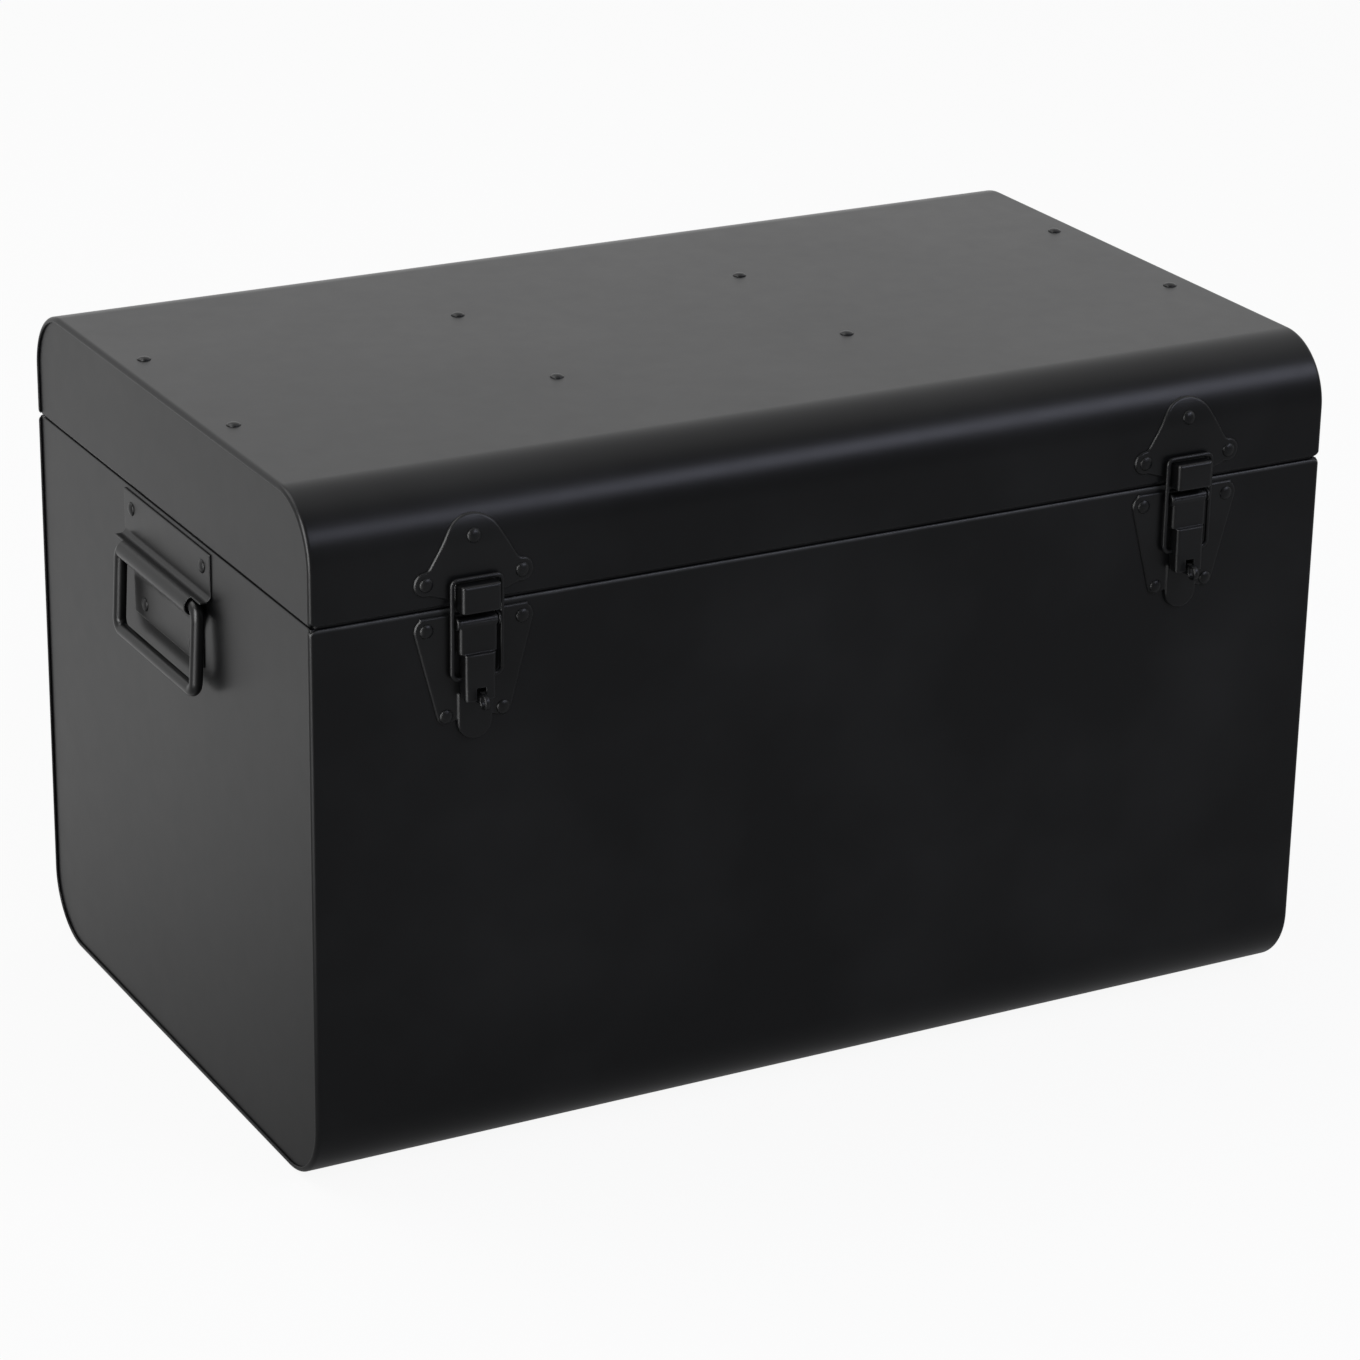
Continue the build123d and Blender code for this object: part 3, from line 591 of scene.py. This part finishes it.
def inwards(outline, amount):
    # A counterclockwise outline drawn in by an amount
    moved = []
    for place, point in enumerate(outline):
        before = (point - outline[place - 1]).normalized()
        after = (outline[(place + 1) % len(outline)] - point).normalized()
        first, second = Vector((-before.y, before.x)), Vector((-after.y, after.x))
        moved.append(point + (first + second) * amount / max(0.3, 1 + first.dot(second)))
    return moved


pressedEdge = ((66, 0.14), (60, 0.18), (54, 0.20), (48, 0.18), (40, 0.14), (28, 0.10), (12, 0.06))


def pressedPlate(shape, outline, low, high, edge, placing, cuts=()):
    # A plate between two heights over its seat, its outer edge pressed to a slope, laid where placing says.
    # The slope's lean from upright, in degrees, and its share of the edge's height are in pressedEdge.
    flat = bmesh.new()
    rings = [(outline, low), (outline, high - edge)]
    inset, height = 0, high - edge
    for lean, share in pressedEdge:
        inset += edge * share / math.tan(math.radians(lean))
        height += edge * share
        rings.append((inwards(outline, inset), height))
    rows = [[flat.verts.new((point.x, point.y, height)) for point in ring] for ring, height in rings]
    for below, above in zip(rows, rows[1:]):
        for place in range(len(outline)):
            flat.faces.new((below[place - 1], below[place], above[place], above[place - 1]))
    flat.faces.new(list(reversed(rows[0])))
    flat.faces.new(rows[-1])
    for cut in cuts:
        everything = flat.verts[:] + flat.edges[:] + flat.faces[:]
        bmesh.ops.bisect_plane(flat, geom=everything, plane_co=(0, cut, 0), plane_no=(0, 1, 0))
    addTo(shape, flat, placing)


def addTo(shape, part, placing):
    # Copies one bmesh into another, each corner laid where placing says, in millimetres
    corners = {corner: shape.verts.new(placing(*corner.co) * mm) for corner in part.verts}
    for face in part.faces:
        shape.faces.new([corners[corner] for corner in face.verts])
    part.free()


def sheetFrom(name, corners, faces, wall, bends, rim, paint="fittingPaint"):
    # A sheet on the given outer faces: its bends rounded, its wall turned inwards, its rim eased
    mesh = bpy.data.meshes.new(name)
    mesh.from_pydata([Vector(corner) * mm for corner in corners], [], faces)
    shape = bmesh.new()
    shape.from_mesh(mesh)
    bmesh.ops.recalc_face_normals(shape, faces=shape.faces)
    if bends:
        weight = shape.edges.layers.float.new("bevel_weight_edge")
        for edge in shape.edges:
            edge[weight] = bends(*[corner.co / mm for corner in edge.verts]) if len(edge.link_faces) == 2 else 0
    shape.to_mesh(mesh)
    shape.free()
    mesh.materials.append(materials[paint])
    holder = bpy.data.objects.new(name, mesh)
    bpy.context.scene.collection.objects.link(holder)
    if bends:
        bending = holder.modifiers.new("bending", "BEVEL")
        bending.limit_method = "WEIGHT"
        bending.width = mm
        bending.segments = 5
        bending.use_clamp_overlap = False
    thick = holder.modifiers.new("wall", "SOLIDIFY")
    thick.thickness = wall * mm
    thick.offset = -1
    thick.use_even_offset = True
    easing = holder.modifiers.new("easing", "BEVEL")
    easing.limit_method = "ANGLE"
    easing.angle_limit = math.radians(50)
    easing.width = rim * mm
    easing.segments = 2
    return finished(holder, name)


def oneMesh(name, parts, shape=None):
    # Joins finished parts and loose shapes into one piece
    whole = shape or bmesh.new()
    for part in parts:
        whole.from_mesh(part.data)
        bpy.data.objects.remove(part)
    mesh = bpy.data.meshes.new(name)
    whole.to_mesh(mesh)
    whole.free()
    mesh.materials.append(materials["fittingPaint"])
    for face in mesh.polygons:
        face.material_index = 0
    piece = bpy.data.objects.new(name, mesh)
    bpy.context.scene.collection.objects.link(piece)
    return evened(piece, 42)


# ---- Latches ----

keeper = {
    "lobe": 14.0, "lobeZ": 25.0, "ear": 5.5, "earX": 22.0, "earZ": 12.0, "bottom": 2.6, "edge": 1.0,
    "noseWidth": 18.0, "noseReach": 9.0, "noseBottom": -0.6, "noseTop": 11.3, "noseDip": 0.8, "noseBend": 1.8,
}
base = {
    "top": -2.6, "topX": 24.8, "earX": 22.0, "earZ": -8.3, "ear": 5.5, "footX": 13.2, "footZ": -47.6,
    "foot": 4.0, "tip": 8.0, "tipZ": -51.5, "padTop": -38.0, "padRise": 1.0, "edge": 1.0,
    "pinEar": 2.8, "earIn": 9.05, "earSheet": 1.0, "pivotZ": -6.3, "pivotReach": 3.6,
    "eyeZ": -40.0, "eyeReach": 10.6, "eyeRadius": 3.4, "eyeHole": 2.0, "eyeSheet": 2.2,
}
lever = {
    "width": 17.5, "face": 5.7, "back": 1.5, "roll": 2.16, "stepZ": -19.7, "thumbWidth": 14.0, "thumbFace": 7.5,
    "creaseZ": -28.0, "bottom": -40.0, "flare": 0.5, "padZ": -37.7, "notch": 4.4, "notchTop": -34.6, "sheet": 1.2,
    "bend": 1.9,
}


def arcPoints(x, z, radius, start, stop, step=12):
    # Points of an arc about (x, z), from one angle to another in degrees
    count = max(2, round(abs(stop - start) / step))
    turns = [math.radians(start + (stop - start) * part / count) for part in range(count + 1)]
    return [Vector((x + radius * math.cos(turn), z + radius * math.sin(turn))) for turn in turns]


def mirrored(half):
    # A whole counterclockwise outline from its right half, which runs from the bottom up
    return half + [Vector((-point.x, point.y)) for point in reversed(half)]


def keeperOutline():
    look = keeper
    shoulder = 27.5                  # where the bell's side leaves the lobe, in degrees
    right = [Vector((look["noseWidth"] / 2, look["bottom"]))]
    right += arcPoints(look["earX"], look["earZ"], look["ear"], -104, 88)
    # The hollow between ear and bell
    right += arcPoints(look["earX"] + 0.35, look["earZ"] + look["ear"] + 2.5, 2.5, -97, -152)
    right += arcPoints(0, look["lobeZ"], look["lobe"], shoulder, 90, 6)[:-1]
    return mirrored(right)


def baseOutline():
    look = base
    right = arcPoints(0, look["tipZ"], look["tip"], -90, 0)[1:]
    right.append(Vector((look["tip"], look["tipZ"] + 1.2)))
    right += arcPoints(look["footX"], look["footZ"], look["foot"], -88, -15)
    right += arcPoints(look["earX"], look["earZ"], look["ear"], -15, 56)
    right += [Vector((look["topX"], look["top"])), Vector((12.0, look["top"]))]
    return mirrored(right)


def leverParts(hand, x):
    look = lever
    wide, face, back = look["width"] / 2, look["face"], look["back"]
    front = -trunkBox["deep"]
    rim = trunkBox["rim"]

    def at(across, reach, z):
        return (x + across, front - reach, rim + z)

    top, step = base["pivotZ"], look["stepZ"]
    shoulder = top - look["roll"]
    plateSkin = [
        at(-wide, face, top), at(wide, face, top), at(wide, face, shoulder), at(-wide, face, shoulder),
        at(wide, face, step), at(-wide, face, step),
        at(wide, back, shoulder), at(wide, back, step), at(-wide, back, shoulder), at(-wide, back, step),
    ]
    plateFaces = [(0, 1, 2, 3), (3, 2, 4, 5), (2, 6, 7, 4), (3, 5, 9, 8)]

    def sideBend(first, second):
        upright = abs(first.x - second.x) < 0.01 and abs(first.y - second.y) < 1
        return look["bend"] if upright and min(first.z, second.z) < rim + shoulder - 0.1 else 0

    upper = sheetFrom(f"leverPlate_{hand}", plateSkin, plateFaces, look["sheet"], sideBend, 0.3)
    wide, face, tip = look["thumbWidth"] / 2, look["thumbFace"], look["thumbFace"] + look["flare"]
    low, slot = look["bottom"], look["notch"] / 2
    slotFace = tip - look["flare"] * (look["notchTop"] - low) / (look["creaseZ"] - low)
    raised = back + base["padRise"]
    thumbSkin = [
        at(-wide, lever["face"] - 1.1, step), at(wide, lever["face"] - 1.1, step),       # 0, 1
        at(-wide, face, step), at(wide, face, step),                                     # 2, 3
        at(-wide, face, look["creaseZ"]), at(wide, face, look["creaseZ"]),               # 4, 5
        at(-wide, tip, low), at(-slot, tip, low), at(-slot, slotFace, look["notchTop"]),  # 6, 7, 8
        at(slot, slotFace, look["notchTop"]), at(slot, tip, low), at(wide, tip, low),    # 9, 10, 11
        at(-wide, raised, low), at(-wide, raised, look["padZ"]),                         # 12, 13
        at(-wide, back, look["padZ"]), at(-wide, back, step),                            # 14, 15
        at(wide, raised, low), at(wide, raised, look["padZ"]),                           # 16, 17
        at(wide, back, look["padZ"]), at(wide, back, step),                              # 18, 19
    ]
    thumbFaces = [
        (0, 1, 3, 2), (2, 3, 5, 4), (4, 5, 11, 10, 9, 8, 7, 6),
        (0, 2, 4, 6, 12, 13, 14, 15), (1, 19, 18, 17, 16, 11, 5, 3),
    ]

    def thumbBend(first, second):
        middle = (first + second) / 2
        side = abs(abs(middle.x - x) - wide) < 0.01
        if side and middle.y < front - face + 0.4:
            return look["bend"] - 0.2
        return 0.6 if abs(middle.z - rim - step) < 0.01 and middle.y < front - face + 0.1 else 0

    thumb = sheetFrom(f"leverThumb_{hand}", thumbSkin, thumbFaces, look["sheet"], thumbBend, 0.25)
    roll = bmesh.new()
    about = Matrix.Translation((x * mm, (front - base["pivotReach"]) * mm, (rim + top) * mm))
    bmesh.ops.create_cone(
        roll,
        cap_ends=True,
        segments=28,
        radius1=look["roll"] * mm,
        radius2=look["roll"] * mm,
        depth=look["width"] * mm,
        matrix=about @ Matrix.Rotation(math.radians(90), 4, "Y"),
    )
    return oneMesh(f"lever_{hand}", [upper, thumb], roll)


def keeperParts(hand, x):
    look = keeper
    shape = bmesh.new()
    levels = [24.0 + 1.2 * part for part in range(1, 13)]          # close rows where the plate follows the roll
    pressedPlate(
        shape, keeperOutline(), 0, plate, look["edge"], lambda a, z, h: onFront(x + a, z, h)[0], levels
    )
    wide, reach, top, low = look["noseWidth"] / 2, look["noseReach"], look["noseTop"], look["noseBottom"]
    front, rim = -trunkBox["deep"], trunkBox["rim"]
    root, rootZ = 0.5, top - look["noseDip"]
    skin = [
        (x + across, front - out, rim + z)
        for across in (-wide, wide)
        for out, z in ((root, rootZ), (reach, top), (reach, low), (root, low))
    ]
    faces = [(0, 1, 5, 4), (1, 2, 6, 5), (0, 3, 2, 1), (4, 5, 6, 7)]

    def noseBend(first, second):
        return look["noseBend"] if min(-first.y, -second.y) > -front + reach - 0.1 else 0.7

    nose = sheetFrom(f"nose_{hand}", skin, faces, plate, noseBend, 0.3)
    return oneMesh(f"keeper_{hand}", [nose], shape)


def baseParts(hand, x):
    look = base
    front, rim = -trunkBox["deep"], trunkBox["rim"]
    shape = bmesh.new()

    def onPlate(across, z, height):
        return onFront(x + across, z, height)[0]

    pressedPlate(shape, baseOutline(), 0, plate, look["edge"], onPlate)
    # The pad at the tip: a raised dish with a rolled lip
    lip = arcPoints(0, look["tipZ"], look["tip"], -180, 0) + [
        Vector((look["tip"], look["padTop"])), Vector((-look["tip"], look["padTop"]))
    ]
    pressedPlate(shape, lip, 0.4, plate + look["padRise"], 0.9, onPlate)
    # Ears for the lever's pin
    for turn in (-1, 1):
        inner = turn * look["earIn"]
        cheek = [Vector((0.2, -look["pinEar"])), Vector((look["pivotReach"], -look["pinEar"]))]
        cheek += arcPoints(look["pivotReach"], 0, look["pinEar"], -80, 90) + [Vector((0.2, look["pinEar"]))]

        def besidePin(reach, z, out):
            return Vector((x + inner + turn * out, front - reach, rim + look["pivotZ"] + z))

        pressedPlate(shape, cheek, 0, look["earSheet"], 0.4, besidePin)
    # The eye for a padlock: a rounded ring on a short arm
    half = look["eyeSheet"] / 2
    middle = (look["eyeRadius"] + look["eyeHole"]) / 2
    thick = (look["eyeRadius"] - look["eyeHole"]) / 2
    section = rounded([(-half, -thick, 0.5), (half, -thick, 0.5), (half, thick, 0.5), (-half, thick, 0.5)], step=30)
    ring = bmesh.new()
    rows = []
    for part in range(32):
        turn = math.radians(360 * part / 32)
        rows.append([
            ring.verts.new((point.x, (middle + point.y) * math.cos(turn), (middle + point.y) * math.sin(turn)))
            for point in section
        ])
    for place, row in enumerate(rows):
        for step in range(len(section)):
            ring.faces.new((rows[place - 1][step - 1], rows[place - 1][step], row[step], row[step - 1]))
    addTo(shape, ring, lambda a, b, c: Vector((x + a, front - look["eyeReach"] - b, rim + look["eyeZ"] + c)))
    arm = rounded([(-half, -1.9, 0.5), (half, -1.9, 0.5), (half, 1.9, 0.5), (-half, 1.9, 0.5)], step=30)
    stem = bmesh.new()
    tapers = ((0.6, 1.25), (look["eyeReach"] - 2.1, 1.0))          # reach and share of the height
    ends = [[stem.verts.new((point.x, reach, point.y * share)) for point in arm] for reach, share in tapers]
    for place in range(len(arm)):
        stem.faces.new((ends[0][place - 1], ends[0][place], ends[1][place], ends[1][place - 1]))
    stem.faces.new(ends[0])
    stem.faces.new(ends[1])
    addTo(shape, stem, lambda a, b, c: Vector((x + a, front - b, rim + look["eyeZ"] + c)))
    return oneMesh(f"latchBase_{hand}", [], shape)


for side, hand in sidesOf:
    middle = side * latch["x"]
    settle(keeperParts(hand, middle), "lid", "fittings", f"latch_keeper_{hand}")
    settle(baseParts(hand, middle), "trunk", "fittings", f"latch_base_{hand}")
    settle(leverParts(hand, middle), f"lever_{hand}", "fittings", f"latch_lever_{hand}")

# ---- Handle straps ----

strap = {
    "sheet": strapSheet, "half": 48.5, "barrel": 39.0, "top": -2.0, "bottom": -57.0,
    "axisZ": -27.5, "axisReach": 4.6, "outer": 4.5, "hollow": 2.6, "underHollow": 10.0, "roofFrom": 72.0,
    "ease": 0.36,
}


def strapParts(side, hand):
    look = strap

    def hollow(radius):
        # The arc between plate and barrel, above the barrel, and the angle at which it meets the barrel
        shift = look["axisReach"] - look["sheet"] - radius
        span = look["outer"] + radius
        lift = math.sqrt(span ** 2 - shift ** 2)
        meet = math.degrees(math.asin(shift / span))
        return arcPoints(look["axisReach"] - shift, lift, radius, 180, 270 + meet, 10), meet

    above, meetAbove = hollow(look["hollow"])
    below, meetBelow = hollow(look["underHollow"])
    barrel = arcPoints(look["axisReach"], 0, look["outer"], 90 + meetAbove, -90 - meetBelow, 6)[1:-1]
    upper = [Vector((look["sheet"], look["top"] - look["axisZ"]))] + above
    lower = [Vector((point.x, -point.y)) for point in reversed(below)]
    lower.append(Vector((look["sheet"], look["bottom"] - look["axisZ"])))
    path = upper + barrel + lower
    # The sheet keeps its full width down to this point; below it only the barrel goes on.
    climbs = [math.degrees(math.atan2(point.y, point.x - look["axisReach"])) for point in barrel]
    roof = len(upper) + sum(climb > look["roofFrom"] for climb in climbs)
    columns = (-look["half"], -look["barrel"], look["barrel"], look["half"])
    front, level = trunkBox["panel"], trunkBox["rim"] + look["axisZ"]
    corners, numbers = [], {}
    for row, point in enumerate(path):
        for column, across in enumerate(columns):
            if row < roof or column in (1, 2):
                numbers[row, column] = len(corners)
                corners.append((side * (front + point.x), across, level + point.y))
    faces = [
        (numbers[row, column], numbers[row, column + 1], numbers[row + 1, column + 1], numbers[row + 1, column])
        for row in range(len(path) - 1)
        for column in range(3)
        if (row + 1, column) in numbers and (row + 1, column + 1) in numbers
    ]
    if side > 0:
        faces = [tuple(reversed(face)) for face in faces]
    return sheetFrom(f"strap_{hand}", corners, faces, look["sheet"], None, look["ease"])


for side, hand in sidesOf:
    part = strapParts(side, hand)
    settle(oneMesh(f"strap_{hand}", [part]), "trunk", "fittings", f"handle_strap_{hand}")

# ---- Room ----

room = {
    "floorHalf": 6.0,
    "floorColour": (0.84, 0.84, 0.84, 1),
    "floorLift": 0.92,     # the floor's own white where the camera sees it
    "floorGloss": 0.80,    # and where a gloss shows it
    "paintedShadeTurn": (-0.26, 0.46),    # painted shade on the floor as a gloss shows it: darker before this stretch than behind it
    "paintedShadeLevels": (0.25, 0.89),
    "paintedPoolPlace": (-0.76, -0.38),   # a painted pool of light on the floor, seen only in glosses, at the foot of the edge card
    "paintedPoolReach": (0.42, 0.08),
    "paintedPoolGlow": 4.0,
    "airFill": 0.42,       # light of the air on dull surfaces
    "airFront": 0.22,      # the air in front of the trunk as a gloss shows it, and behind it
    "airBack": 0.95,
    "airTurn": (-0.55, 0.15),
}

# place, aim, size, radiance and tint of each lamp, and whether it lights dull surfaces too
lamps = {
    "frontStrip": ((1.30, -1.62, 1.72), (0, 0, 0.25), (1.9, 0.60), 4.6, (0.91, 0.94, 1.14), True),
    "keyCanopy": ((-1.2, 1.1, 2.7), (0, 0, 0.15), (2.0, 2.0), 2.4, (1, 1, 1), True),
    "edgeCard": ((-0.77, -0.38, 0.45), (-0.2, -0.15, 0.25), (0.32, 0.86), 12.0, (1, 1, 1), False),
}


def seenRays(tree):
    path = tree.nodes.new("ShaderNodeLightPath")
    camera, glossy, through = [
        Wire(tree, path.outputs[name]) for name in ("Is Camera Ray", "Is Glossy Ray", "Is Transmission Ray")
    ]
    return camera, glossy.most(through)


def makeFloor():
    half = room["floorHalf"]
    mesh = bpy.data.meshes.new("studioFloor")
    corners = [(-half, -half, 0), (half, -half, 0), (half, half, 0), (-half, half, 0)]
    mesh.from_pydata(corners, [], [(0, 1, 2, 3)])
    floor = bpy.data.objects.new("studioFloor", mesh)
    bpy.context.scene.collection.objects.link(floor)
    material = bpy.data.materials.new("floorWhite")
    material.use_nodes = True
    tree = material.node_tree
    tree.nodes.clear()
    dull = node(tree, "ShaderNodeBsdfDiffuse", {}, {"Color": room["floorColour"]})
    camera, gloss = seenRays(tree)
    place = node(tree, "ShaderNodeNewGeometry")
    across, along = [node(tree, "ShaderNodeSeparateXYZ", {}, {0: place}, part) for part in range(2)]
    # Painted shade and a painted pool of light on the floor, shown only in glosses: darker in front of the trunk,
    # brighter at the foot of the edge card
    (first, last), (near, far) = room["paintedShadeTurn"], room["paintedShadeLevels"]
    behind = node(
        tree, "ShaderNodeMapRange", {"interpolation_type": "SMOOTHSTEP"}, {"Value": along, 1: first, 2: last}
    )
    paintedPoolX, paintedPoolY = room["paintedPoolPlace"]
    away = ((across - paintedPoolX) ** 2 + (along - paintedPoolY) ** 2) ** 0.5
    edge, core = room["paintedPoolReach"]
    paintedPool = node(
        tree, "ShaderNodeMapRange", {"interpolation_type": "SMOOTHSTEP"}, {"Value": away, 1: edge, 2: core}
    )
    shown = near + behind * (far - near) + paintedPool * room["paintedPoolGlow"]
    glow = node(tree, "ShaderNodeEmission", {}, {"Color": (1, 1, 1, 1), "Strength": camera + gloss * shown})
    share = camera * room["floorLift"] + gloss * room["floorGloss"]
    mixed = node(tree, "ShaderNodeMixShader", {}, {0: share, 1: dull, 2: glow})
    node(tree, "ShaderNodeOutputMaterial", {}, {"Surface": mixed})
    mesh.materials.append(material)


def makeWorld():
    world = bpy.data.worlds.new("studioAir")
    bpy.context.scene.world = world
    world.use_nodes = True
    tree = world.node_tree
    tree.nodes.clear()
    camera, gloss = seenRays(tree)
    way = node(tree, "ShaderNodeTexCoord")
    behind = node(tree, "ShaderNodeSeparateXYZ", {}, {0: way}, 1)
    first, last = room["airTurn"]
    share = node(
        tree, "ShaderNodeMapRange", {"interpolation_type": "SMOOTHSTEP"}, {"Value": behind, 1: first, 2: last}
    )
    shown = room["airFront"] + share * (room["airBack"] - room["airFront"])
    strength = camera + gloss * shown + (1 - camera.most(gloss)) * room["airFill"]
    air = node(tree, "ShaderNodeBackground", {}, {"Color": (1, 1, 1, 1), "Strength": strength})
    node(tree, "ShaderNodeOutputWorld", {}, {"Surface": air})


def makeLamp(name, place, aim, size, radiance, tint, lights):
    lamp = bpy.data.lights.new(name, "AREA")
    lamp.shape = "RECTANGLE"
    lamp.size, lamp.size_y = size
    lamp.energy = radiance * math.pi * size[0] * size[1]
    lamp.color = tint
    holder = bpy.data.objects.new(name, lamp)
    holder.location = place
    holder.rotation_euler = (Vector(aim) - Vector(place)).to_track_quat("-Z", "Y").to_euler()
    holder.visible_camera = False
    holder.visible_diffuse = lights
    bpy.context.scene.collection.objects.link(holder)


makeFloor()
makeWorld()
for name, settings in lamps.items():
    makeLamp(name, *settings)
bpy.context.scene.view_settings.view_transform = "Standard"
print("room: floor, air and lamps")

# ---- Camera ----

view = {
    "place": (-0.9436, -1.7435, 0.9303),
    "heading": -28.554,    # degrees from +Y, clockwise as seen from above is negative
    "dip": 21.785,
    "roll": 0.967,
    "lens": 121.07,
    "sensor": 36.0,
}


def makeCamera():
    camera = bpy.data.cameras.new("photoView")
    camera.lens = view["lens"]
    camera.sensor_width = view["sensor"]
    camera.clip_end = 50
    holder = bpy.data.objects.new("photoView", camera)
    turn = Euler((0, 0, math.radians(view["heading"]))).to_matrix()
    tilt = Euler((math.radians(90 - view["dip"]), 0, 0)).to_matrix()
    roll = Euler((0, 0, math.radians(view["roll"]))).to_matrix()
    holder.rotation_euler = (turn @ tilt @ roll).to_euler()
    holder.location = view["place"]
    bpy.context.scene.collection.objects.link(holder)
    bpy.context.scene.camera = holder


makeCamera()
print("camera: at the photograph's angle")
